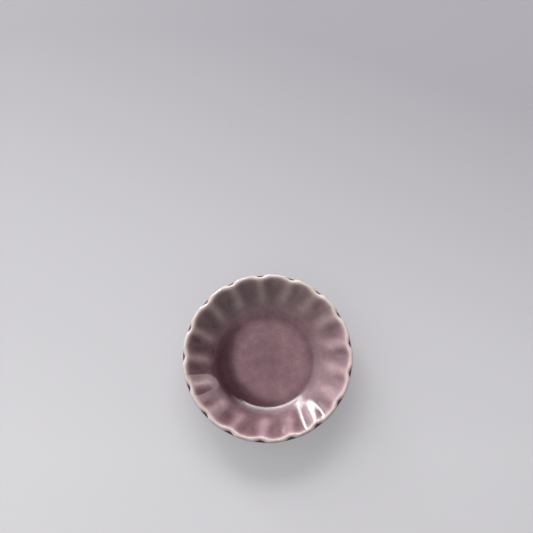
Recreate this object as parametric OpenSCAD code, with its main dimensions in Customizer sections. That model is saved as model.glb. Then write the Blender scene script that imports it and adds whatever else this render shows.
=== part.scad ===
// Round soy sauce dish in glazed stoneware. Seventeen petals are pressed into its sloping wall, the lip is
// nicked between them, and the dish stands on a low ring of bare clay. Glaze lies on the clay as separate
// coats: one in the well, a thin one over the lip, one outside, and one inside the foot ring.
// Millimetres, +Z up. The origin is the centre of the circle on which the foot rests. A petal's middle
// lies on +X.

/* [Dish] */
// Diameter over the lip, measured at the middle of a petal
dish_d = 91; // [84:0.5:100]
// Height from the table to the top of the lip
dish_h = 20; // [18:0.5:24]
// Thickness of the clay floor at its middle
floor_t = 3.6; // [2.6:0.1:5]
// Thickness of the clay wall, half way up
wall_t = 3.4; // [2.6:0.1:4.4]

/* [Well] */
// Diameter of the corner where the floor turns up into the wall
floor_d = 50.8; // [46:0.2:52.4]
// Rise of the floor from its middle to that corner
floor_sag = 0.5; // [0.2:0.1:0.9]
// Distance inside that corner over which it is rounded
corner_inner_w = 1.2; // [0.6:0.1:1.6]
// Distance outside that corner over which it is rounded
corner_outer_w = 2.4; // [1.2:0.1:3.2]

/* [Petals] */
// Number of petals
petals = 17; // [11:1:21]
// Diameter at which the ridges between the petals begin
ridge_d = 58; // [56:0.5:62]
// Height of the ridges over the hollows beside them
ridge_h = 1.2; // [0.6:0.1:1.6]
// How far the inner edge of the lip steps inwards between two petals
arch_depth = 1.2; // [0.8:0.1:1.6]
// How far the outer edge of the lip steps inwards there
nick_depth = 1.4; // [0.8:0.1:1.8]
// How far a nick reaches down the upright face under the lip
nick_h = 2; // [1.2:0.1:2.8]
// How far the lip dips between two petals
nick_dip = 0.3; // [0:0.1:0.6]
// Depth of the shallow flutes on the outside
flute_depth = 0.3; // [0.1:0.05:0.6]

/* [Lip] */
// Radius of the lip's rounding
lip_r = 1.1; // [0.8:0.05:1.3]
// Height of the upright face under that rounding
lip_face_h = 2.2; // [1.4:0.1:3]

/* [Foot] */
// Outer diameter of the foot ring where it joins the floor
foot_d = 49; // [42:0.5:54]
// Height of the foot ring
foot_h = 3.4; // [2.4:0.1:4.4]
// Width of the foot ring where it joins the floor
foot_w = 3.6; // [2.6:0.1:5]
// How far the outer side of the foot ring leans in towards the table
foot_lean = 0.4; // [0:0.05:0.6]
// Radius of the foot ring's lower edges
foot_edge_r = 0.55; // [0.3:0.05:0.7]
// Step from the foot ring out to the underside of the wall
foot_step = 0.8; // [0.4:0.1:1.6]

/* [Glaze] */
// Thickness of the glaze in the hollows, on the floor and on the outside
glaze_t = 0.5; // [0.4:0.05:0.7]
// Thickness of the glaze on the ridges and over the lip
thin_glaze_t = 0.3; // [0.2:0.05:0.4]
// Thickness of the glaze where it pools, in the corner of the floor and in the nicks
pool_glaze_t = 0.8; // [0.6:0.05:1]
// Width of the band beside the foot that the outer glaze leaves bare
bare_w = 1.3; // [0.8:0.1:2]
// Height of that band
bare_h = 0.7; // [0.4:0.1:1.2]
// Radius of the glaze's curve where it climbs the inside of the foot ring
creep_r = 0.8; // [0.4:0.1:1.2]

/* [Colours] */
// Bare fired clay
clay_colour = [0.78, 0.71, 0.62];
// Glaze in the well
well_colour = [0.49, 0.38, 0.40];
// Thin glaze over the lip
lip_colour = [0.88, 0.83, 0.82];
// Glaze on the outside
outer_colour = [0.42, 0.30, 0.34];

/* [Hidden] */

// Places across one petal, from one ridge to just before the next, as shares of the pitch
column_shares = [-0.5, -0.44, -0.33, -0.15, 0, 0.15, 0.33, 0.44];
// Places along the floor, from its middle to the start of the rounded corner
floor_shares = [0.55, 0.8, 0.93, 1];
// Places through the rounded corner, from the floor to the wall
corner_shares = [0.33, 0.67, 1];
// Places up the petals, from the start of the ridges to just below the lip
petal_shares = [0, 0.15, 0.35, 0.6, 0.8, 0.92];
// Places over the lip's rounding, from the well to the outside
lip_shares = [0, 0.25, 0.5, 0.75, 1];
// Places down the upright face under the lip
face_shares = [0.3, 0.62, 1];
// Places down the outside of the wall, from the upright face to the glaze's lower edge
outer_shares = [0.3, 0.55, 0.78, 1];

// Slope of the wall at its lower end, as a share of its mean slope
lower_slope_share = 0.8;
// Half a petal is measured from 0 in its middle to 1 on the ridge. As shares of it: where the flanks of a
// ridge and of a nick begin, and the roundness of a ridge's top, of a nick's bottom and of a flank's start.
ridge_foot_share = 0.28;
nick_foot_share = 0.66;
ridge_round_share = 0.4;
nick_round_share = 0.2;
foot_round_share = 0.2;
// A higher power keeps the middle of the floor flatter
floor_power = 6;
// Higher powers keep the nick's inward step and its dip nearer to the lip
step_power = 4;
dip_power = 5;
// Facets in each rounded edge of the foot ring
edge_steps = 6;
// Facets around the foot ring
$fn = 136;

dish_r = dish_d / 2;
floor_r = floor_d / 2;
ridge_r = ridge_d / 2;
foot_r = foot_d / 2;
foot_inner_r = foot_r - foot_w;
base_r = foot_r + foot_step;
pitch = 360 / petals;
columns = petals * len(column_shares);

// Heights of the glaze's surface at the middle of the floor and in its corner
floor_z = foot_h + floor_t + glaze_t;
corner_z = floor_z + floor_sag;

// The lip is rounded about one point, and the wall meets that rounding where their slopes agree
lip_centre_r = dish_r - lip_r;
lip_centre_z = dish_h - lip_r;
lip_slope = atan((2 - lower_slope_share) * (lip_centre_z - corner_z) / (lip_centre_r - floor_r));
inner_lip_r = lip_centre_r - lip_r * sin(lip_slope);
inner_lip_z = lip_centre_z + lip_r * cos(lip_slope);

// Blends from a to b as x goes from 0 to 1
function mix(a, b, x) = a + (b - a) * x;

// Falls smoothly from 1 to 0 as x goes from 0 to 1
function fall(x) = x >= 1 ? 0 : 1 - x * x * (3 - 2 * x);

// A curve from a to c that leaves a towards b and comes to c from b, and the direction in which it runs
function bend(a, b, c, x) = mix(mix(a, b, x), mix(b, c, x), x);
function bend_run(a, b, c, x) = mix(b - a, c - b, x);

// Height of the floor at a radius
function floor_height(r) = floor_z + floor_sag * pow(r / floor_r, floor_power);

// How far up the wall a radius lies, and the wall's height and slope there, in the middle of a petal
function wall_share(r) = (r - floor_r) / (inner_lip_r - floor_r);
function wall_height(r) =
    let (x = wall_share(r))
    mix(corner_z, inner_lip_z, x * mix(lower_slope_share, 1, x));
function wall_slope(r) =
    atan(
        mix(lower_slope_share, 2 - lower_slope_share, wall_share(r))
        * (inner_lip_z - corner_z) / (inner_lip_r - floor_r)
    );

// How far up a flank a place lies that is away from the ridge by this share: 1 on the ridge, 0 where the
// flank begins, and less than 0 in the hollow
function flank_height(away, foot, roundness) =
    1 - (norm([away, roundness]) - roundness) / (norm([1 - foot, roundness]) - roundness);
function eased(height) = height + norm([height, foot_round_share]);

// How much of a ridge there is at a column: 0 in the middle of a petal and 1 on the ridge
function ridge_part(u, foot, roundness) =
    let (
        here = eased(flank_height(1 - 2 * abs(u), foot, roundness)),
        lowest = eased(flank_height(1, foot, roundness)),
        highest = eased(1)
    )
    (here - lowest) / (highest - lowest);

// A station is one ring of the glaze's surface. It holds the ring's radius and height in the middle of a
// petal, the angle in which the surface faces there, how far the ring steps in and rises on a ridge, where
// the ridge's flank begins, the roundness of its top, and the thickness of the glaze in the middle of a
// petal and on the ridge. A round station has no ridges.
function station(at, facing, step_in, rise, foot, roundness, mid_t, ridge_t) =
    [at.x, at.y, facing, step_in, rise, foot, roundness, mid_t, ridge_t];
function round_station(at, facing, t) =
    station(at, facing, 0, 0, ridge_foot_share, ridge_round_share, t, t);

// The floor, with glaze that thickens towards its corner
floor_stations = [
    for (x = floor_shares)
        let (
            r = x * (floor_r - corner_inner_w),
            t = mix(pool_glaze_t, glaze_t, fall((x - floor_shares[0]) / (1 - floor_shares[0])))
        )
        round_station([r, floor_height(r)], 90, t)
];

// The rounded corner, from the pooled glaze to the plain ring of the wall
corner_from = [floor_r - corner_inner_w, floor_height(floor_r - corner_inner_w)];
corner_bend = [floor_r, corner_z];
corner_to = [floor_r + corner_outer_w, wall_height(floor_r + corner_outer_w)];
corner_stations = [
    for (x = corner_shares)
        let (run = bend_run(corner_from, corner_bend, corner_to, x))
        round_station(
            bend(corner_from, corner_bend, corner_to, x),
            90 + atan2(run.y, run.x),
            mix(pool_glaze_t, glaze_t, x)
        )
];

// The petals, whose ridges step in and dip towards the lip and carry thinner glaze
petal_stations = [
    for (x = petal_shares)
        let (r = mix(ridge_r, inner_lip_r, x))
        station(
            [r, wall_height(r)],
            90 + wall_slope(r),
            arch_depth * pow(x, step_power),
            mix(ridge_h * x, -nick_dip, pow(x, dip_power)),
            ridge_foot_share, ridge_round_share,
            mix(glaze_t, thin_glaze_t, pow(x, dip_power)),
            mix(glaze_t, thin_glaze_t, x)
        )
];

// The lip's rounding
lip_stations = [
    for (x = lip_shares)
        let (facing = mix(90 + lip_slope, 0, x))
        station(
            [lip_centre_r + lip_r * cos(facing), lip_centre_z + lip_r * sin(facing)],
            facing,
            mix(arch_depth, nick_depth, x),
            -nick_dip,
            mix(ridge_foot_share, nick_foot_share, x),
            mix(ridge_round_share, nick_round_share, x),
            thin_glaze_t, thin_glaze_t
        )
];

// The upright face under the lip, where the nicks fade into the flutes and the glaze pools in them
face_stations = [
    for (x = face_shares)
        let (left = fall(x * lip_face_h / nick_h))
        station(
            [dish_r, lip_centre_z - x * lip_face_h],
            0,
            mix(flute_depth, nick_depth, left),
            -nick_dip * left,
            mix(ridge_foot_share, nick_foot_share, left),
            mix(ridge_round_share, nick_round_share, left),
            mix(thin_glaze_t, glaze_t, x), mix(pool_glaze_t, thin_glaze_t, fall(2 * x))
        )
];

// The outside of the wall, bent so that the clay is wall_t thick at the middle of the bend
outer_from = [dish_r, lip_centre_z - lip_face_h];
outer_to = [base_r + bare_w, foot_h + bare_h];
outer_mid_r = mix(outer_to.x, dish_r, 3 / 4);
outer_mid_z = wall_height(outer_mid_r) - (wall_t + 2 * glaze_t) / cos(wall_slope(outer_mid_r));
outer_bend = [dish_r, 2 * outer_mid_z - (outer_from.y + outer_to.y) / 2];
outer_stations = [
    for (x = outer_shares)
        let (run = bend_run(outer_from, outer_bend, outer_to, x))
        station(
            bend(outer_from, outer_bend, outer_to, x),
            atan2(run.x, -run.y),
            flute_depth * (1 - x), 0, ridge_foot_share, ridge_round_share,
            glaze_t, mix(pool_glaze_t, glaze_t, x)
        )
];

// The clay's edge beside the foot
base_stations = [round_station([base_r, foot_h], 0, 0)];

// The points of one ring, on the glaze's surface where depth is 0 and on the clay under it where depth is 1
function ring(s, depth) = [
    for (petal = [0 : petals - 1])
        for (u = column_shares)
            let (
                part = ridge_part(u, s[5], s[6]),
                t = depth * mix(s[7], s[8], part),
                r = s[0] - s[3] * part - t * cos(s[2]),
                z = s[1] + s[4] * part - t * sin(s[2]),
                turn = (petal + u) * pitch
            )
            [r * cos(turn), r * sin(turn), z]
];
function reversed(list) = [for (i = [len(list) - 1 : -1 : 0]) list[i]];
function rings(stations, depth) = [for (s = stations) each ring(s, depth)];

// Two triangles for each column between the ring that starts at point a and the ring that starts at point
// b. Their diagonal changes sides in the middle of a petal, so every petal is symmetrical.
function strip(a, b) = [
    for (i = [0 : columns - 1])
        let (
            j = (i + 1) % columns,
            rising = column_shares[i % len(column_shares)] < 0
        )
        each rising
            ? [[a + i, a + j, b + j], [a + i, b + j, b + i]]
            : [[a + i, a + j, b + i], [a + j, b + j, b + i]]
];
function strips(count) = [for (i = [0 : count - 2]) each strip(i * columns, (i + 1) * columns)];

// A coat of glaze that closes on itself, between the glaze's surface and the clay along some stations
module hoop(stations) {
    count = 2 * len(stations);
    polyhedron(
        concat(rings(stations, 0), rings(reversed(stations), 1)),
        concat(strips(count), strip((count - 1) * columns, 0))
    );
}

// A solid whose rings run from a point on the axis above it to a point on the axis below it
module bowl(points, count, top_z, bottom_z) {
    top = count * columns;
    last = (count - 1) * columns;
    polyhedron(
        concat(points, [[0, 0, top_z], [0, 0, bottom_z]]),
        concat(
            strips(count),
            [for (i = [0 : columns - 1]) [top, (i + 1) % columns, i]],
            [for (i = [0 : columns - 1]) [top + 1, last + i, last + (i + 1) % columns]]
        )
    );
}

well_stations = concat(floor_stations, corner_stations, petal_stations, [lip_stations[0]]);
outside_stations = concat([lip_stations[len(lip_stations) - 1]], face_stations, outer_stations);

// The pressed clay dish: floor, fluted wall and nicked lip
module clay_body() {
    stations = concat(
        floor_stations, corner_stations, petal_stations, lip_stations, face_stations, outer_stations,
        base_stations
    );
    color(clay_colour) bowl(rings(stations, 1), len(stations), floor_z - glaze_t, foot_h);
}

// The clay ring on which the dish stands, stuck to the underside of the floor
module foot_ring() {
    outer_arc = [
        for (i = [0 : edge_steps])
            let (a = mix(-90, 0, i / edge_steps))
            [foot_r - foot_lean, 0] + foot_edge_r * [cos(a) - 1, sin(a) + 1]
    ];
    inner_arc = [
        for (i = [0 : edge_steps])
            let (a = mix(180, 270, i / edge_steps))
            [foot_inner_r, 0] + foot_edge_r * [cos(a) + 1, sin(a) + 1]
    ];
    color(clay_colour)
        rotate_extrude()
            polygon(concat(outer_arc, [[foot_r, foot_h], [foot_inner_r, foot_h]], inner_arc));
}

// The coat in the well: floor, pooled corner and petals
module inner_glaze() {
    points = concat(rings(well_stations, 0), rings(reversed(well_stations), 1));
    color(well_colour) bowl(points, 2 * len(well_stations), floor_z, floor_z - glaze_t);
}

// The thin pale coat over the lip
module lip_glaze() {
    color(lip_colour) hoop(lip_stations);
}

// The coat outside, with glaze pooled in the nicks
module outer_glaze() {
    color(outer_colour) hoop(outside_stations);
}

// The coat under the floor, which creeps a little way down the inside of the foot ring
module base_glaze() {
    creep = [
        for (i = [0 : edge_steps])
            let (a = mix(0, 90, i / edge_steps))
            [foot_inner_r, foot_h - glaze_t] + creep_r * [cos(a) - 1, sin(a) - 1]
    ];
    color(outer_colour)
        rotate_extrude()
            polygon(concat([[0, foot_h], [foot_inner_r, foot_h]], creep, [[0, foot_h - glaze_t]]));
}

clay_body();
foot_ring();
inner_glaze();
lip_glaze();
outer_glaze();
base_glaze();
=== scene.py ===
"""Looks of the soy sauce dish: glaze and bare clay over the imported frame, a pale floor and studio light."""

import math

import bpy
import numpy as np
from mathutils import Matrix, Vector


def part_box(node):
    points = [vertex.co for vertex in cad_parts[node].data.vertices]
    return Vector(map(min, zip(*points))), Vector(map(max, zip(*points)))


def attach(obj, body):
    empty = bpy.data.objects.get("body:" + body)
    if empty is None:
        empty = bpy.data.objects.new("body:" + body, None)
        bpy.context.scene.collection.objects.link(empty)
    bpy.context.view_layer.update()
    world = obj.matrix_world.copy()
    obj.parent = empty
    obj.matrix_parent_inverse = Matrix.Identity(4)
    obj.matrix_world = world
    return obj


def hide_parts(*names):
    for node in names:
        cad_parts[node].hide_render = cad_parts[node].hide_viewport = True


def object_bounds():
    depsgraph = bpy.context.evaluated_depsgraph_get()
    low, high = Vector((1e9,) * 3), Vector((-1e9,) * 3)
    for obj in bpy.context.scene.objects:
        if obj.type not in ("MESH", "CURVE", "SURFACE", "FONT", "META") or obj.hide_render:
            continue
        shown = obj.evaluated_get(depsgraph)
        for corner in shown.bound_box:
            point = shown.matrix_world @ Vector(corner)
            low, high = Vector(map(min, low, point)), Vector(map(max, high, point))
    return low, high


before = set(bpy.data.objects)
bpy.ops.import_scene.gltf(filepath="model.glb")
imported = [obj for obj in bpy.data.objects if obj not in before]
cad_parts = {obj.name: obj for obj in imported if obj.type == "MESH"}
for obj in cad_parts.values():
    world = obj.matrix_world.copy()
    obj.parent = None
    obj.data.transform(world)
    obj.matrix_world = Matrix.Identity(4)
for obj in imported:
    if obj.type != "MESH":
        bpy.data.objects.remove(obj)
cad_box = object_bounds()

MM = 0.001

# Sizes that the CAD model doesn't give as a box, as in its source
LIP_R = 1.1 * MM
LIP_FACE_H = 2.2 * MM
FLOOR_R = 25.4 * MM
FLOOR_SAG = 0.5 * MM
CORNER_INNER_W = 1.2 * MM
CORNER_OUTER_W = 2.4 * MM
RIDGE_START_R = 29 * MM
RIDGE_H = 1.2 * MM
ARCH_DEPTH = 1.2 * MM
NICK_DEPTH = 1.4 * MM
NICK_H = 2.0 * MM
NICK_DIP = 0.3 * MM
FLUTE_DEPTH = 0.3 * MM
WALL_T = 3.4 * MM
GLAZE_T = 0.5 * MM
THIN_GLAZE_T = 0.3 * MM
POOL_GLAZE_T = 0.8 * MM
BARE_W = 1.3 * MM
BARE_H = 0.7 * MM
FOOT_STEP = 0.8 * MM
FOOT_W = 3.6 * MM
FOOT_LEAN = 0.4 * MM
FOOT_EDGE_R = 0.55 * MM
CREEP_R = 0.8 * MM

# The number of petals, and shares and powers that shape the walls, ridges and nicks, as in the CAD's source
PETALS = 17
LOWER_SLOPE_SHARE = 0.8
RIDGE_FOOT_SHARE = 0.28
NICK_FOOT_SHARE = 0.66
RIDGE_ROUND_SHARE = 0.4
NICK_ROUND_SHARE = 0.2
FOOT_ROUND_SHARE = 0.2
OUTER_MIDDLE_SHARE = 0.75
FLOOR_POWER = 6
STEP_POWER = 4
DIP_POWER = 5

# Where on the floor the glaze starts to thicken, and how far under the lip it is thickest in a nick
POOL_SHARE = 0.55
FACE_POOL_SHARE = 0.5

# Sizes that the frame gives
DISH_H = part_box("lip_glaze")[1][2]
DISH_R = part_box("lip_glaze")[1][0]
FOOT_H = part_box("foot_ring")[1][2]
FOOT_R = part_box("foot_ring")[1][0]
FLOOR_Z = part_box("inner_glaze")[0][2] + GLAZE_T
FOOT_INNER_R = FOOT_R - FOOT_W
BASE_R = FOOT_R + FOOT_STEP
CORNER_Z = FLOOR_Z + FLOOR_SAG
LIP_CENTRE_R = DISH_R - LIP_R
LIP_CENTRE_Z = DISH_H - LIP_R
LIP_SLOPE = math.atan((2 - LOWER_SLOPE_SHARE) * (LIP_CENTRE_Z - CORNER_Z) / (LIP_CENTRE_R - FLOOR_R))
INNER_LIP_R = LIP_CENTRE_R - LIP_R * math.sin(LIP_SLOPE)
INNER_LIP_Z = LIP_CENTRE_Z + LIP_R * math.cos(LIP_SLOPE)

# How finely the surfaces are made. The clay has one ring for every CLAY_RING_STEP rings of the glaze,
# and the innermost ring has FIRST_RING_SHARE of the floor's radius
COLUMNS_PER_PETAL = 28
COLUMNS = PETALS * COLUMNS_PER_PETAL
FLOOR_RINGS = 26
CORNER_RINGS = 18
PLAIN_RINGS = 6
PETAL_RINGS = 80
LIP_RINGS = 17
FACE_RINGS = 20
OUTER_RINGS = 44
CLAY_RING_STEP = 2
FIRST_RING_SHARE = 0.02
LATHE_STEPS = 256
ARC_POINTS = 9

# Depth of the glaze's colour: 0 where it is thin and pale, 1 where it is thick and plum, and more in a nick
WELL_DEPTH = 0.5
MIDDLE_DEPTH = 0.09
POOL_DEPTH = 0.64
CORNER_DEPTH = 0.55
PLAIN_DEPTH = 0.49
SCOOP_DEPTH = 0.52
RIDGE_DEPTH = 0.34
LIP_INNER_DEPTH = 0.035
LIP_OUTER_DEPTH = 0.075
LIP_EDGE_DEPTH = 0.11
FACE_TOP_DEPTH = 0.14
FACE_DEPTH = 0.5
NICK_TINT_DEPTH = 1.25
UNDER_DEPTH = 0.62
BASE_DEPTH = 0.6

# Where those depths change, as shares of the stretch, and with which power they do
MIDDLE_SHARE = 0.6
FLOOR_TINT_SHARES = (0.8, 1.02)
PLAIN_POWER = 0.6
RIDGE_TINT_SHARE = 0.4
LIP_EDGE_POWER = 3
FACE_POWER = 0.5
NICK_TINT_SHARE = 0.125
NICK_POWER = 0.3

# How much paler a scoop and a ridge get just under the lip, and how late they do
SCOOP_PALE_DEPTH = 0.4
SCOOP_PALE_POWER = 16
RIDGE_PALE_DEPTH = 0.2
RIDGE_PALE_POWER = 10

# Powers that narrow a ridge's or a nick's colour, or widen it where they are under 1, from start to end
RIDGE_TINT_POWERS = (1.3, 3.2)
NICK_TINT_POWERS = (0.6, 1.5)

# The flanks of a scoop: their deeper colour and its width, and from where, how fast and how far they part
FLANK_DEPTH = 0.08
FLANK_WIDTH = 0.3
FLANK_PARTING_SHARE = 0.35
FLANK_PARTING_SLOPE = 0.95
FLANK_APART_SHARE = 0.62

# Pooled glaze and painted shade on one side of the corner: how much deeper its colour is there, where, and
# over which radii
POOL_AND_SHADE_DEPTH = 0.55
POOL_AND_SHADE_DEEPEST = 0.98
POOL_AND_SHADE_TURN = math.radians(204)
POOL_AND_SHADE_POWER = 1.5
POOL_AND_SHADE_R = 23.6 * MM
POOL_AND_SHADE_INNER_W = 8.5 * MM
POOL_AND_SHADE_OUTER_W = 10 * MM

# Painted shade darkens the scoops on one side: by how much, on which side, and from where to where
SIDE_SHADE_DEPTH = 0.1
SIDE_SHADE_TURN = math.radians(174)
SIDE_SHADE_W = 9 * MM
SIDE_SHADE_R = 42 * MM

# A painted reflection greys the petals on one side: where, and how much of it
PAINTED_REFLECTION_TURN = math.radians(105)
PAINTED_REFLECTION_LEVEL = 0.5
PAINTED_REFLECTION_SPREAD = 1.5
PAINTED_REFLECTION_W = 10 * MM

# How far the ridges stray from even spacing, and by how much the petals' colour does where it is this deep
STRAY_TURN = math.radians(0.7)
STRAY_DEPTH = 0.03
STRAY_LEAST_DEPTH = 0.2

# How far the lower ends of the ridges lean round the dish: everywhere, and more on the side at LEAN_TURN
LEAN = math.radians(2.5)
SIDE_LEAN = math.radians(2.5)
LEAN_TURN = math.radians(-35)

rng = np.random.default_rng(17)
ridge_turns = rng.uniform(-STRAY_TURN, STRAY_TURN, PETALS)
petal_stray = rng.uniform(-STRAY_DEPTH, STRAY_DEPTH, PETALS)

# Colours of the glaze for each depth: plain, and greyed by the painted reflection
GLAZE_STOPS = [
    (0.0, (0.585, 0.505, 0.485)),
    (0.1, (0.53, 0.43, 0.41)),
    (0.2, (0.44, 0.31, 0.29)),
    (0.3, (0.345, 0.225, 0.243)),
    (0.5, (0.20, 0.115, 0.132)),
    (0.75, (0.085, 0.040, 0.052)),
    (1.0, (0.044, 0.016, 0.023)),
    (NICK_TINT_DEPTH, (0.105, 0.028, 0.038)),
]
PAINTED_REFLECTION_STOPS = [
    (0.0, (0.56, 0.51, 0.48)),
    (0.1, (0.50, 0.44, 0.40)),
    (0.2, (0.38, 0.315, 0.26)),
    (0.3, (0.27, 0.225, 0.20)),
    (0.5, (0.165, 0.130, 0.122)),
    (0.75, (0.080, 0.056, 0.056)),
    (1.0, (0.042, 0.024, 0.026)),
    (NICK_TINT_DEPTH, (0.105, 0.034, 0.042)),
]

# Noise: most of its values lie in this range, and its scales are in patches per metre
NOISE_RANGE = (0.3, 0.7)

# Clouds, mottling and specks in the glaze: their scales, and how far they change the depth of colour
CLOUD_SCALE = 160
CLOUD_DEPTH = 0.05
MOTTLE_SCALE = 900
MOTTLE_DEPTH = 0.025
SPECK_SCALE = 1100
SPECK_R_SHARE = 0.16
SPECK_SHARE = 0.035
SPECK_DEPTH = -0.3

# The glaze's gloss: its roughness, and how much rougher it gets where it is palest and in the nicks
GLAZE_IOR = 1.52
GLOSS_SCALE = 420
GLOSS_RANGE = (0.07, 0.13)
PALE_RANGE = (0.02, 0.06)
PALE_ROUGHNESS = 0.08
NICK_RANGE = (0.85, 0.95)
NICK_ROUGHNESS = 0.4

# Waves and fine grain in the glaze's surface: scale, height and strength
WAVE_SCALE = 260
WAVE_H = 0.05 * MM
WAVE_STRENGTH = 0.6
GRAIN_SCALE = 2200
GRAIN_H = 0.012 * MM
GRAIN_STRENGTH = 0.5

# The bare clay: its colours, and the clouds and the grog in it
CLAY_STOPS = [(0.3, (0.40, 0.29, 0.20)), (0.5, (0.58, 0.46, 0.34)), (0.7, (0.68, 0.57, 0.44))]
CLAY_CLOUD_SCALE = 140
CLAY_CLOUD_SHARE = 0.5
GROG_SCALE = 1800
GROG_ROUGHNESS = 0.6
GROG_H = 0.08 * MM
GROG_STRENGTH = 0.8
CLAY_ROUGHNESS = (0.7, 0.9)

# The floor: its size, its colours from pale to dark, and its painted shade, darker up and rightwards over
# these metres
FLOOR_SIZE = 6
FLOOR_STOPS = [(0.0, (0.323, 0.319, 0.329)), (0.5, (0.273, 0.269, 0.28)), (1.0, (0.194, 0.189, 0.203))]
FLOOR_UP_RANGE = (-0.05, 0.19)
FLOOR_UP_SHADES = (0.16, 1)
FLOOR_ACROSS_RANGE = (-0.14, 0.14)
FLOOR_ACROSS_SHADES = (-0.16, 0.16)
FLOOR_CLOUD_SCALE = 3
FLOOR_CLOUD_SHADES = (-0.012, 0.012)
FLOOR_ROUGHNESS = 0.9

# How much of the floor's paleness is for the camera and its reflections alone
GLOW_LEVEL = 0.95

# The lamps: the azimuths and the elevations that each fills, in degrees, and its radiance
LAMP_DISTANCE = 1.3
LAMPS = {
    "bar_right": ((66, 93), (38, 50), 8.5),
    "bar_left": ((93, 120), (38, 50), 11.5),
    "low_strip": ((114.9, 123.3), (3, 20), 18),
    "high_strip": ((117, 121), (20, 31), 18),
    "beside_strip": ((120, 126), (17, 48), 8),
    "haze": ((123.3, 135), (4, 20), 1.8),
}

# The room: where it is brightest, the cosines over which it brightens towards there, its levels and colour
ROOM_AIM = (-0.35, -0.92, 0.2)
ROOM_SPREAD = (-0.7, 0.9)
ROOM_LEVELS = (0.02, 0.53)
ROOM_COLOUR = (0.985, 0.978, 0.99, 1)

# The soft window of the room: where it lies, how narrow it is and how bright
WINDOW_AIM = (-0.75, 0.48, 0.455)
WINDOW_POWER = 5
WINDOW_LEVEL = 1.85

# The pale panel: its brightness and colour, and in degrees its sharp side and top, the radius of its corner,
# half the width of its edge, and where it fades out at its other side and at its bottom
PANEL_LEVEL = 3
PANEL_COLOUR = (1, 0.84, 0.86, 1)
PANEL_SIDE = 28
PANEL_TOP = 26
PANEL_CORNER_R = 6
PANEL_EDGE_W = 1
PANEL_FAR_RANGE = (32, 58)
PANEL_BOTTOM_RANGE = (6, 9)

# The soft light under the lamps' bar: its brightness, and in degrees where it grows and where it ends
UNDER_BAR_LEVEL = 7.5
UNDER_BAR_AZIMUTHS = ((50, 74), (118, 138))
UNDER_BAR_ELEVATIONS = ((21, 38), (38, 39))

# The camera looks at the dish from this far and this high, and the photograph's frame is this wide there.
# In the photograph, the lip's radius and the place of the dish's middle are these, in pixels
VIEW_DISTANCE = 1.1
VIEW_ELEVATION = math.radians(81)
PHOTO_PX = 533
LIP_PX = 85.3
DISH_PX = (267.9, 357.6)
METRES_PER_PX = DISH_R / LIP_PX
SENSOR_MM = 36
NEAREST = 0.01

# Numbers of the colour inputs and of the colour output of Blender's Mix node
MIX_FIRST = 6
MIX_SECOND = 7
MIX_RESULT = 2


def mix(a, b, x):
    return a + (b - a) * x


def grow(x, start, end):
    """0 up to 1 as x goes from start to end, smoothly."""
    x = np.clip((x - start) / (end - start), 0, 1)
    return x * x * (3 - 2 * x)


def fade(x, start, end):
    """1 down to 0 as x goes from start to end, smoothly."""
    return 1 - grow(x, start, end)


def bend(a, b, c, x):
    """Points on the curve that leaves a towards b and comes to c from b, and its directions there."""
    x = np.asarray(x)[:, None]
    return mix(mix(a, b, x), mix(b, c, x), x), mix(b - a, c - b, x)


def around_axis(r, z, turn):
    """Points at these radii, heights and turns round the axis."""
    return np.stack((r * np.cos(turn), r * np.sin(turn), z + 0 * turn), axis=-1)


def floor_height(r):
    return FLOOR_Z + FLOOR_SAG * (r / FLOOR_R) ** FLOOR_POWER


def wall_share(r):
    return (r - FLOOR_R) / (INNER_LIP_R - FLOOR_R)


def wall_height(r):
    x = wall_share(r)
    return mix(CORNER_Z, INNER_LIP_Z, x * mix(LOWER_SLOPE_SHARE, 1, x))


def wall_slope(r):
    mean = (INNER_LIP_Z - CORNER_Z) / (INNER_LIP_R - FLOOR_R)
    return np.arctan(mix(LOWER_SLOPE_SHARE, 2 - LOWER_SLOPE_SHARE, wall_share(r)) * mean)


def ridge_share(r):
    return (r - RIDGE_START_R) / (INNER_LIP_R - RIDGE_START_R)


def flank_height(away, foot, roundness):
    """How far up a flank a place lies, this share away from the ridge: 1 on the ridge, 0 at the foot."""
    return 1 - (np.hypot(away, roundness) - roundness) / (np.hypot(1 - foot, roundness) - roundness)


def eased(height):
    return height + np.hypot(height, FOOT_ROUND_SHARE)


def ridge_part(u, foot, roundness):
    """How much of a ridge there is at column share u: 0 in the middle of a petal, 1 on the ridge."""
    here = eased(flank_height(1 - 2 * abs(u), foot, roundness))
    lowest = eased(flank_height(1, foot, roundness))
    return (here - lowest) / (eased(1) - lowest)


def stations(
    r,
    z,
    facing,
    t,
    depth,
    ridge_t=None,
    ridge_depth=None,
    step_in=0,
    rise=0,
    foot=RIDGE_FOOT_SHARE,
    roundness=RIDGE_ROUND_SHARE,
    tint_power=1,
):
    """Rings of the glaze's surface, one row each, as in the CAD model's source.

    r, z and facing are a ring's radius, height and direction in the middle of a petal, and step_in and rise
    are how far it moves inwards and up on a ridge. The glaze has the thickness t and this depth of colour,
    and on a ridge its own where they are given. foot and roundness shape the ridge, tint_power its colour.
    """
    ridge_t = t if ridge_t is None else ridge_t
    ridge_depth = depth if ridge_depth is None else ridge_depth
    columns = (r, z, facing, step_in, rise, foot, roundness, t, ridge_t, depth, ridge_depth, tint_power)
    return np.stack(np.broadcast_arrays(*(np.asarray(c, float) for c in columns)), axis=-1)


def floor_rings(count):
    """The floor, from its middle out to where the corner begins."""
    x = np.linspace(FIRST_RING_SHARE, 1, count)
    r = x * (FLOOR_R - CORNER_INNER_W)
    t = mix(GLAZE_T, POOL_GLAZE_T, grow(x, POOL_SHARE, 1))
    depth = mix(WELL_DEPTH, POOL_DEPTH, grow(x, *FLOOR_TINT_SHARES))
    depth = depth + MIDDLE_DEPTH * fade(x, 0, MIDDLE_SHARE)
    return stations(r, floor_height(r), math.pi / 2, t, depth)


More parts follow.
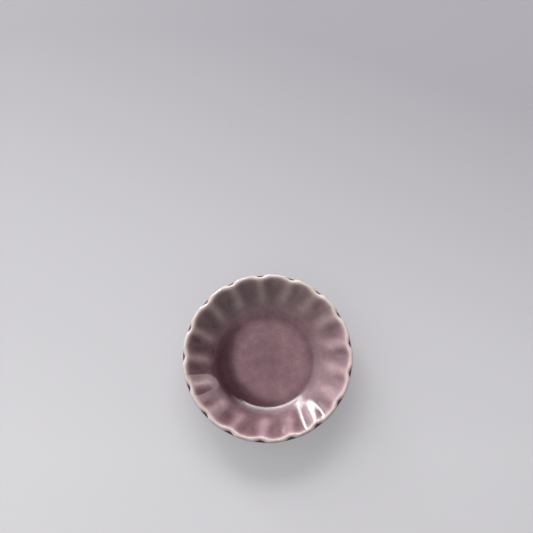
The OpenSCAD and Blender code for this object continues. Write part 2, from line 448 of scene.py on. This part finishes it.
def corner_rings(count):
    """The rounded corner where the floor turns up into the wall."""
    x = np.linspace(0, 1, count + 1)[1:]
    start = np.array((FLOOR_R - CORNER_INNER_W, floor_height(FLOOR_R - CORNER_INNER_W)))
    through = np.array((FLOOR_R, CORNER_Z))
    end = np.array((FLOOR_R + CORNER_OUTER_W, wall_height(FLOOR_R + CORNER_OUTER_W)))
    at, run = bend(start, through, end, x)
    facing = math.pi / 2 + np.arctan2(run[:, 1], run[:, 0])
    t = mix(POOL_GLAZE_T, GLAZE_T, x)
    return stations(at[:, 0], at[:, 1], facing, t, mix(POOL_DEPTH, CORNER_DEPTH, x))


def plain_rings(count):
    """The plain ring of wall between the corner and the ridges."""
    r = np.linspace(FLOOR_R + CORNER_OUTER_W, RIDGE_START_R, count + 2)[1:-1]
    depth = mix(CORNER_DEPTH, PLAIN_DEPTH, np.linspace(0, 1, count) ** PLAIN_POWER)
    return stations(r, wall_height(r), math.pi / 2 + wall_slope(r), GLAZE_T, depth)


def petal_rings(count):
    """The petals and the ridges between them, up to the lip."""
    x = np.linspace(0, 1, count + 1)[:-1]
    r = mix(RIDGE_START_R, INNER_LIP_R, x)
    dip = x**DIP_POWER
    ridge_depth = mix(PLAIN_DEPTH, RIDGE_DEPTH, grow(x, 0, RIDGE_TINT_SHARE))
    return stations(
        r,
        wall_height(r),
        math.pi / 2 + wall_slope(r),
        t=mix(GLAZE_T, THIN_GLAZE_T, dip),
        depth=SCOOP_DEPTH - SCOOP_PALE_DEPTH * x**SCOOP_PALE_POWER,
        ridge_t=mix(GLAZE_T, THIN_GLAZE_T, x),
        ridge_depth=ridge_depth - RIDGE_PALE_DEPTH * x**RIDGE_PALE_POWER,
        step_in=ARCH_DEPTH * x**STEP_POWER,
        rise=mix(RIDGE_H * x, -NICK_DIP, dip),
        tint_power=mix(*RIDGE_TINT_POWERS, x),
    )


def lip_rings(count):
    """The rounded lip, which turns from facing inwards and up to facing outwards."""
    x = np.linspace(0, 1, count)
    facing = mix(math.pi / 2 + LIP_SLOPE, 0, x)
    return stations(
        LIP_CENTRE_R + LIP_R * np.cos(facing),
        LIP_CENTRE_Z + LIP_R * np.sin(facing),
        facing,
        t=THIN_GLAZE_T,
        depth=mix(LIP_INNER_DEPTH, LIP_OUTER_DEPTH, x) + LIP_EDGE_DEPTH * abs(2 * x - 1) ** LIP_EDGE_POWER,
        step_in=mix(ARCH_DEPTH, NICK_DEPTH, x),
        rise=-NICK_DIP,
        foot=mix(RIDGE_FOOT_SHARE, NICK_FOOT_SHARE, x),
        roundness=mix(RIDGE_ROUND_SHARE, NICK_ROUND_SHARE, x),
    )


def face_rings(count):
    """The upright face under the lip, down which the nicks run out into shallow flutes."""
    x = np.linspace(0, 1, count + 1)[1:]
    nick = fade(x * LIP_FACE_H, 0, NICK_H)
    return stations(
        DISH_R,
        LIP_CENTRE_Z - x * LIP_FACE_H,
        facing=0,
        t=mix(THIN_GLAZE_T, GLAZE_T, x),
        depth=mix(FACE_TOP_DEPTH, FACE_DEPTH, x**FACE_POWER),
        ridge_t=mix(POOL_GLAZE_T, THIN_GLAZE_T, fade(x, 0, FACE_POOL_SHARE)),
        ridge_depth=mix(FACE_TOP_DEPTH, NICK_TINT_DEPTH, np.minimum(1, x / NICK_TINT_SHARE)),
        step_in=mix(FLUTE_DEPTH, NICK_DEPTH, nick),
        rise=-NICK_DIP * nick,
        foot=mix(RIDGE_FOOT_SHARE, NICK_FOOT_SHARE, nick),
        roundness=mix(RIDGE_ROUND_SHARE, NICK_ROUND_SHARE, nick),
        tint_power=NICK_TINT_POWERS[0],
    )


def outer_rings(count):
    """The outside, from the face under the lip down to the bare band beside the foot."""
    x = np.linspace(0, 1, count + 1)[1:]
    start = np.array((DISH_R, LIP_CENTRE_Z - LIP_FACE_H))
    end = np.array((BASE_R + BARE_W, FOOT_H + BARE_H))
    middle_r = mix(end[0], DISH_R, OUTER_MIDDLE_SHARE)
    middle_z = wall_height(middle_r) - (WALL_T + 2 * GLAZE_T) / math.cos(wall_slope(middle_r))
    through = np.array((DISH_R, 2 * middle_z - (start[1] + end[1]) / 2))
    at, run = bend(start, through, end, x)
    return stations(
        at[:, 0],
        at[:, 1],
        np.arctan2(run[:, 0], -run[:, 1]),
        t=GLAZE_T,
        depth=mix(FACE_DEPTH, UNDER_DEPTH, x),
        ridge_t=mix(POOL_GLAZE_T, GLAZE_T, x),
        ridge_depth=mix(NICK_TINT_DEPTH, UNDER_DEPTH, x**NICK_POWER),
        step_in=FLUTE_DEPTH * (1 - x),
        tint_power=mix(*NICK_TINT_POWERS, x),
    )


def base_rings():
    """The clay's edge beside the foot, which has no glaze."""
    return stations([BASE_R], FOOT_H, facing=0, t=0, depth=0)


def ridge_stray(petal, share):
    """How far each column turns with the uneven ridges on its two sides."""
    return mix(ridge_turns[petal], ridge_turns[(petal + 1) % PETALS], share)


def ridge_lean(r, turn):
    """How far a place turns with the leaning ridges: fully at their lower ends and not at all at the lip."""
    return (LEAN + SIDE_LEAN * np.cos(turn - LEAN_TURN)) * (1 - np.clip(ridge_share(r), 0, 1))


def flank_part(r, u):
    """The thicker glaze on both flanks of a scoop, which run together at its lower end."""
    x = ridge_share(r)
    apart = np.clip(FLANK_PARTING_SLOPE * (x - FLANK_PARTING_SHARE), 0, FLANK_APART_SHARE)
    along = np.sqrt(fade(abs(2 * x - 1), 0, 1))
    return along * np.exp(-(((abs(2 * u) - apart) / FLANK_WIDTH) ** 2))


def pool_and_shade_part(r, turn):
    """Pooled glaze and painted shade, deepest on one side of the corner."""
    x = (r - POOL_AND_SHADE_R) / np.where(r < POOL_AND_SHADE_R, POOL_AND_SHADE_INNER_W, POOL_AND_SHADE_OUTER_W)
    return fade(abs(x), 0, 1) * np.clip(np.cos(turn - POOL_AND_SHADE_TURN), 0, 1) ** POOL_AND_SHADE_POWER


def side_shade_part(r, turn):
    """The painted shade that darkens the scoops on one side, which ends under the lip."""
    across = np.clip(np.cos(turn - SIDE_SHADE_TURN), 0, 1)
    return across * grow(r, FLOOR_R, FLOOR_R + SIDE_SHADE_W) * fade(r, SIDE_SHADE_R, SIDE_SHADE_R + MM)


def painted_reflection_part(points):
    """How grey the glaze is at each point: a painted reflection on the petals of one side."""
    r = np.hypot(points[:, 0], points[:, 1])
    aim = points[:, 0] * math.cos(PAINTED_REFLECTION_TURN) + points[:, 1] * math.sin(PAINTED_REFLECTION_TURN)
    side = np.clip(aim / np.maximum(r, MM) * PAINTED_REFLECTION_SPREAD, 0, 1)
    return PAINTED_REFLECTION_LEVEL * side * grow(r, FLOOR_R, FLOOR_R + PAINTED_REFLECTION_W)


def surface(rows, under):
    """The points of each ring, (rings, columns, 3), and the depth of the glaze's colour there.

    The points lie on the glaze where under is 0 and on the clay where it is 1, and all inside the CAD's box.
    """
    index = np.arange(COLUMNS)
    petal = index // COLUMNS_PER_PETAL
    share = index % COLUMNS_PER_PETAL / COLUMNS_PER_PETAL
    u = share - 0.5
    values = rows.T[:, :, None]
    r0, z0, facing = values[:3]
    step_in, rise, foot, roundness = values[3:7]
    mid_t, ridge_t, mid_depth, ridge_depth, tint_power = values[7:]

    turn = (index / COLUMNS_PER_PETAL - 0.5) * 2 * math.pi / PETALS + ridge_stray(petal, share)
    turn = turn + ridge_lean(r0, turn)
    part = ridge_part(u, foot, roundness)
    t = under * mix(mid_t, ridge_t, part)
    r = r0 - step_in * part - t * np.cos(facing)
    z = z0 + rise * part - t * np.sin(facing)
    points = np.clip(around_axis(r, z, turn), *np.asarray(cad_box))

    tint = np.maximum(part, 0) ** tint_power
    stray = petal_stray[petal] * (r0 > RIDGE_START_R) * (mid_depth > STRAY_LEAST_DEPTH)
    depth = mix(mid_depth, ridge_depth, tint) + FLANK_DEPTH * flank_part(r0, u)
    # Each petal's own tone, and the painted shade on the scoops of one side, both away from the ridges
    depth = depth + (stray + SIDE_SHADE_DEPTH * side_shade_part(r0, turn)) * (1 - tint)
    # Pooled glaze and painted shade, deeper on one side of the corner
    run = POOL_AND_SHADE_DEPTH * pool_and_shade_part(r0, turn)
    return points, np.where(run > 0, np.minimum(depth + run, POOL_AND_SHADE_DEEPEST), depth)


def add_object(name, data):
    made = bpy.data.objects.new(name, data)
    bpy.context.scene.collection.objects.link(made)
    return made


def grid_object(name, points, depth, material, poles=None):
    """A mesh of rings. The last one joins the first, unless poles gives the heights of ends on the axis."""
    rings, columns, _ = points.shape
    i = np.arange(rings if poles is None else rings - 1)[:, None]
    j = np.arange(columns)[None, :]
    here = i * columns
    there = (i + 1) % rings * columns
    right = (j + 1) % columns
    quads = np.stack((here + j, there + j, there + right, here + right), axis=-1)
    faces = quads.reshape(-1, 4).tolist()
    verts = points.reshape(-1, 3)
    depths = depth.reshape(-1)
    if poles is not None:
        top = rings * columns
        last = top - columns
        verts = np.vstack((verts, [(0, 0, z) for z in poles]))
        depths = np.concatenate((depths, [depths[0], depths[last]]))
        faces += [(top, k, (k + 1) % columns) for k in range(columns)]
        faces += [(top + 1, last + (k + 1) % columns, last + k) for k in range(columns)]
    mesh = bpy.data.meshes.new(name)
    mesh.from_pydata(verts.tolist(), [], faces)
    # For each point: the glaze's depth of colour, and how much the painted reflection greys it
    for key, values in (("glaze_depth", depths), ("painted_reflection", painted_reflection_part(verts))):
        mesh.attributes.new(key, "FLOAT", "POINT").data.foreach_set("value", values)
    mesh.shade_smooth()
    mesh.materials.append(material)
    return add_object(name, mesh)


def lathe_object(name, outline, material, ends_on_axis=False):
    """A round piece from an outline of radius and height, closed or with its ends on the axis."""
    outline = np.asarray(outline, float)
    poles = (outline[0, 1], outline[-1, 1]) if ends_on_axis else None
    rings = outline[1:-1] if ends_on_axis else outline
    turn = np.arange(LATHE_STEPS) * 2 * math.pi / LATHE_STEPS
    points = around_axis(rings[:, :1], rings[:, 1:], turn)
    return grid_object(name, points, np.full(points.shape[:2], BASE_DEPTH), material, poles)


def arc(centre_r, centre_z, radius, start, end):
    """Points of an outline on part of a circle, from the angle start to the angle end."""
    angles = np.linspace(start, end, ARC_POINTS)
    return [(centre_r + radius * math.cos(a), centre_z + radius * math.sin(a)) for a in angles]


class Shader:
    """The nodes of a material or a world, with short calls to add them and join them."""

    def __init__(self, owner, last, place):
        """Takes the name of the node that shades, and of the coordinates that the others use."""
        owner.use_nodes = True
        self.nodes = owner.node_tree.nodes
        self.links = owner.node_tree.links
        self.last = self.nodes[last]
        self.place = self.nodes.new("ShaderNodeTexCoord").outputs[place]

    def fill(self, node, inputs):
        """Sets a node's inputs, by name or number, to values, or joins other nodes' outputs to them."""
        for key, value in inputs.items():
            if isinstance(value, bpy.types.NodeSocket):
                self.links.new(value, node.inputs[key])
            else:
                node.inputs[key].default_value = value

    def add(self, kind, inputs, **settings):
        node = self.nodes.new("ShaderNode" + kind)
        for key, value in settings.items():
            setattr(node, key, value)
        self.fill(node, inputs)
        return node.outputs

    def attribute(self, name):
        return self.add("Attribute", {}, attribute_name=name)["Fac"]

    def noise(self, scale, detail=2, roughness=0.5):
        inputs = {"Vector": self.place, "Scale": scale, "Detail": detail, "Roughness": roughness}
        return self.add("TexNoise", inputs)["Fac"]

    def patches(self, scale, low, high, detail=2):
        """Soft patches that go from low to high."""
        return self.spread(self.noise(scale, detail), *NOISE_RANGE, low, high)

    def specks(self, scale, radius, share):
        """1 at the middle of small round specks, in this share of the cells, and 0 away from them."""
        cells = self.add("TexVoronoi", {"Vector": self.place, "Scale": scale})
        cell_value = self.add("SeparateColor", {0: cells["Color"]})[0]
        near = self.spread(cells["Distance"], 0, radius, 1, 0)
        return self.math("MULTIPLY", near, self.math("LESS_THAN", cell_value, share))

    def math(self, operation, *values, clamp=False):
        return self.add("Math", dict(enumerate(values)), operation=operation, use_clamp=clamp)[0]

    def chain(self, operation, first, *others):
        """The operation on the first two values, then on its result and the next value, and so on."""
        for other in others:
            first = self.math(operation, first, other)
        return first

    def along(self, direction):
        """How far the place lies in this direction."""
        return self.add("VectorMath", {0: self.place, 1: direction}, operation="DOT_PRODUCT")["Value"]

    def spread(self, value, low, high, to_low=0.0, to_high=1.0):
        """The value stretched so that low becomes to_low and high becomes to_high, and held beyond them."""
        inputs = {"Value": value, "From Min": low, "From Max": high, "To Min": to_low, "To Max": to_high}
        return self.add("MapRange", inputs)["Result"]

    def band(self, value, growing, fading):
        """0 up to 1 as the value runs through growing, and down to 0 again as it runs through fading."""
        return self.math("MULTIPLY", self.spread(value, *growing), self.spread(value, *fading, 1, 0))

    def ramp(self, factor, stops, top=1.0):
        """A colour for each factor. The places of the stops run up to top, and the factor up to 1."""
        node = self.nodes.new("ShaderNodeValToRGB")
        elements = node.color_ramp.elements
        while len(elements) < len(stops):
            elements.new(0.5)
        for element, (place, colour) in zip(elements, stops):
            element.position = place / top
            element.color = (*colour, 1)
        self.fill(node, {"Fac": factor})
        return node.outputs["Color"]

    def blend(self, factor, first, second):
        """The first colour where the factor is 0 and the second where it is 1."""
        inputs = {"Factor": factor, MIX_FIRST: first, MIX_SECOND: second}
        return self.add("Mix", inputs, data_type="RGBA")[MIX_RESULT]

    def bump(self, height, distance, strength, **others):
        """The direction that the surface faces with this relief on it."""
        inputs = {"Height": height, "Distance": distance, "Strength": strength, **others}
        return self.add("Bump", inputs)["Normal"]


def glaze_material(name):
    """Mauve glaze: pale where it is thin, plum where it is thick, and greyer where a reflection is painted on
    it.
    """
    material = bpy.data.materials.new(name)
    s = Shader(material, "Principled BSDF", "Object")
    cloud = s.patches(CLOUD_SCALE, -CLOUD_DEPTH, CLOUD_DEPTH, detail=3)
    mottle = s.patches(MOTTLE_SCALE, -MOTTLE_DEPTH, MOTTLE_DEPTH)
    speck = s.math("MULTIPLY", s.specks(SPECK_SCALE, SPECK_R_SHARE, SPECK_SHARE), SPECK_DEPTH)
    depth = s.chain("ADD", s.attribute("glaze_depth"), cloud, mottle, speck)
    share = s.math("DIVIDE", depth, NICK_TINT_DEPTH, clamp=True)
    plain = s.ramp(share, GLAZE_STOPS, NICK_TINT_DEPTH)
    # The glaze's colours where the painted reflection greys it
    with_reflection = s.ramp(share, PAINTED_REFLECTION_STOPS, NICK_TINT_DEPTH)
    pale_roughness = s.spread(share, *PALE_RANGE, PALE_ROUGHNESS, 0)
    nick_roughness = s.spread(share, *NICK_RANGE, 0, NICK_ROUGHNESS)
    wave = s.bump(s.noise(WAVE_SCALE), WAVE_H, WAVE_STRENGTH)
    looks = {
        "Base Color": s.blend(s.attribute("painted_reflection"), plain, with_reflection),
        "Roughness": s.chain("ADD", s.patches(GLOSS_SCALE, *GLOSS_RANGE), pale_roughness, nick_roughness),
        "IOR": GLAZE_IOR,
        "Normal": s.bump(s.noise(GRAIN_SCALE, detail=1), GRAIN_H, GRAIN_STRENGTH, Normal=wave),
    }
    s.fill(s.last, looks)
    return material


def clay_material(name):
    """Bare fired stoneware, dry, with fine grog."""
    material = bpy.data.materials.new(name)
    s = Shader(material, "Principled BSDF", "Object")
    grog = s.noise(GROG_SCALE, detail=3, roughness=GROG_ROUGHNESS)
    cloud = s.noise(CLAY_CLOUD_SCALE, detail=3)
    grog_share = s.math("MULTIPLY", grog, 1 - CLAY_CLOUD_SHARE)
    shade = s.math("ADD", grog_share, s.math("MULTIPLY", cloud, CLAY_CLOUD_SHARE))
    looks = {
        "Base Color": s.ramp(shade, CLAY_STOPS),
        "Roughness": s.spread(grog, *NOISE_RANGE, *CLAY_ROUGHNESS),
        "Normal": s.bump(grog, GROG_H, GROG_STRENGTH),
    }
    s.fill(s.last, looks)
    return material


def floor_material(name):
    """A matt pale floor, which looks paler to the camera and in reflections than it lights the dish."""
    material = bpy.data.materials.new(name)
    s = Shader(material, "Principled BSDF", "Object")
    place = s.add("SeparateXYZ", {0: s.place})
    # Painted shade: the floor gets darker upwards and to the right
    up = s.spread(place["Y"], *FLOOR_UP_RANGE, *FLOOR_UP_SHADES)
    across = s.spread(place["X"], *FLOOR_ACROSS_RANGE, *FLOOR_ACROSS_SHADES)
    cloud = s.patches(FLOOR_CLOUD_SCALE, *FLOOR_CLOUD_SHADES)
    shade = s.math("ADD", s.math("ADD", up, across), cloud, clamp=True)
    colour = s.ramp(shade, FLOOR_STOPS)
    rays = s.add("LightPath", {})
    seen = s.chain("MAXIMUM", rays["Is Camera Ray"], rays["Is Glossy Ray"], rays["Is Transmission Ray"])
    looks = {
        "Base Color": colour,
        "Emission Color": colour,
        "Emission Strength": s.math("MULTIPLY", seen, GLOW_LEVEL),
        "Roughness": FLOOR_ROUGHNESS,
        "Specular IOR Level": 0,
    }
    s.fill(s.last, looks)
    return material


def build_coat(name, rows, material, node, poles=None):
    """A coat of glaze, between the glaze's surface and the clay's."""
    top, top_depth = surface(rows, 0)
    bottom, bottom_depth = surface(rows[::-1], 1)
    points = np.concatenate((top, bottom))
    piece = grid_object(name, points, np.concatenate((top_depth, bottom_depth)), material, poles)
    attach(piece, "root")
    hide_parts(node)


def build_clay(rows, material):
    points, depth = surface(rows, 1)
    body = grid_object("clay_dish", points, depth, material, (FLOOR_Z - GLAZE_T, FOOT_H))
    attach(body, "root")
    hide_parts("clay_body")


def build_foot(material):
    """The foot ring, with rounded lower edges and an outside that leans in a little downwards."""
    outer = arc(FOOT_R - FOOT_LEAN - FOOT_EDGE_R, FOOT_EDGE_R, FOOT_EDGE_R, -math.pi / 2, 0)
    inner = arc(FOOT_INNER_R + FOOT_EDGE_R, FOOT_EDGE_R, FOOT_EDGE_R, math.pi, 3 * math.pi / 2)
    ring = lathe_object("foot", [*outer, (FOOT_R, FOOT_H), (FOOT_INNER_R, FOOT_H), *inner], material)
    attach(ring, "root")
    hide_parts("foot_ring")


def build_base(material):
    """The glaze inside the foot ring, drawn back from it in a round edge."""
    edge = arc(FOOT_INNER_R - CREEP_R, FOOT_H - GLAZE_T - CREEP_R, CREEP_R, 0, math.pi / 2)
    outline = [(0, FOOT_H), (FOOT_INNER_R, FOOT_H), *edge, (0, FOOT_H - GLAZE_T)]
    base = lathe_object("underside_glaze", outline, material, ends_on_axis=True)
    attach(base, "root")
    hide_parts("base_glaze")


def build_dish():
    glaze = glaze_material("mauve_glaze")
    clay = clay_material("bare_clay")
    floor_and_corner = np.vstack((floor_rings(FLOOR_RINGS), corner_rings(CORNER_RINGS)))
    well = np.vstack((floor_and_corner, plain_rings(PLAIN_RINGS), petal_rings(PETAL_RINGS)))
    lip = lip_rings(LIP_RINGS)
    outside = np.vstack((face_rings(FACE_RINGS), outer_rings(OUTER_RINGS)))
    under_glaze = (well[::CLAY_RING_STEP], lip, outside[::CLAY_RING_STEP], outside[-1:])

    middle = (FLOOR_Z, FLOOR_Z - GLAZE_T)
    build_coat("well_glaze", np.vstack((well, lip[:1])), glaze, "inner_glaze", middle)
    build_coat("rim_glaze", lip, glaze, "lip_glaze")
    build_coat("outside_glaze", np.vstack((lip[-1:], outside)), glaze, "outer_glaze")
    build_clay(np.vstack((*under_glaze, base_rings())), clay)
    build_foot(clay)
    build_base(glaze)


def build_stage():
    bpy.ops.mesh.primitive_plane_add(size=FLOOR_SIZE)
    floor = bpy.context.object
    floor.name = "floor"
    floor.data.materials.append(floor_material("pale_floor"))


def build_lamp(name, azimuths, elevations, radiance):
    """A rectangular lamp that fills these azimuths and elevations as the dish sees it."""
    azimuth, elevation = (math.radians(sum(pair) / 2) for pair in (azimuths, elevations))
    half_turn, half_rise = (math.radians((pair[1] - pair[0]) / 2) for pair in (azimuths, elevations))
    lamp = bpy.data.lights.new(name, "AREA")
    lamp.shape = "RECTANGLE"
    lamp.size = 2 * LAMP_DISTANCE * math.tan(half_turn) * math.cos(elevation)
    lamp.size_y = 2 * LAMP_DISTANCE * math.tan(half_rise)
    lamp.energy = radiance * math.pi * lamp.size * lamp.size_y
    flat = math.cos(elevation)
    aim = Vector((flat * math.cos(azimuth), flat * math.sin(azimuth), math.sin(elevation)))
    placed = add_object(name, lamp)
    placed.location = aim * LAMP_DISTANCE
    placed.rotation_euler = (-aim).to_track_quat("-Z", "Y").to_euler()


def build_room():
    """The world: a dim room with a soft window, a pale panel and some light under the lamps' bar."""
    world = bpy.data.worlds.new("studio")
    bpy.context.scene.world = world
    s = Shader(world, "Background", "Generated")
    place = s.add("SeparateXYZ", {0: s.place})
    azimuth = s.math("DEGREES", s.math("ARCTAN2", place["Y"], place["X"]))
    elevation = s.math("DEGREES", s.math("ARCSINE", place["Z"]))
    room = s.spread(s.along(ROOM_AIM), *ROOM_SPREAD, *ROOM_LEVELS)
    window = s.math("POWER", s.math("MAXIMUM", s.along(WINDOW_AIM), 0), WINDOW_POWER)

    beside = s.math("MAXIMUM", s.math("SUBTRACT", PANEL_SIDE + PANEL_CORNER_R, azimuth), 0)
    above = s.math("MAXIMUM", s.math("SUBTRACT", elevation, PANEL_TOP - PANEL_CORNER_R), 0)
    out = s.math("SQRT", s.math("ADD", s.math("POWER", beside, 2), s.math("POWER", above, 2)))
    inside = s.spread(out, PANEL_CORNER_R - PANEL_EDGE_W, PANEL_CORNER_R + PANEL_EDGE_W, 1, 0)
    panel = s.math("MULTIPLY", inside, s.spread(azimuth, *PANEL_FAR_RANGE, 1, 0))
    panel = s.math("MULTIPLY", panel, s.spread(elevation, *PANEL_BOTTOM_RANGE))
    under_bar = s.band(azimuth, *UNDER_BAR_AZIMUTHS)
    under_bar = s.math("MULTIPLY", under_bar, s.band(elevation, *UNDER_BAR_ELEVATIONS))

    lights = ((window, WINDOW_LEVEL), (panel, PANEL_LEVEL), (under_bar, UNDER_BAR_LEVEL))
    level = s.chain("ADD", room, *(s.math("MULTIPLY", light, brightness) for light, brightness in lights))
    s.fill(s.last, {"Strength": level, "Color": s.blend(panel, ROOM_COLOUR, PANEL_COLOUR)})


def build_light():
    for name, (azimuths, elevations, radiance) in LAMPS.items():
        build_lamp(name, azimuths, elevations, radiance)
    build_room()


def build_camera():
    camera = add_object("camera", bpy.data.cameras.new("camera"))
    bpy.context.scene.camera = camera
    right = Vector((1, 0, 0))
    back = Vector((0, -math.cos(VIEW_ELEVATION), math.sin(VIEW_ELEVATION)))
    up = back.cross(right)
    half = PHOTO_PX / 2
    dish = Vector((0, 0, DISH_H))
    aim = dish + right * (half - DISH_PX[0]) * METRES_PER_PX + up * (DISH_PX[1] - half) * METRES_PER_PX
    camera.location = dish + back * VIEW_DISTANCE
    camera.rotation_euler = (aim - camera.location).to_track_quat("-Z", "Y").to_euler()
    camera.data.sensor_width = SENSOR_MM
    camera.data.lens = SENSOR_MM * VIEW_DISTANCE / (PHOTO_PX * METRES_PER_PX)
    camera.data.clip_start = NEAREST


build_dish()
build_stage()
build_light()
build_camera()
bpy.context.scene.view_settings.view_transform = "Standard"
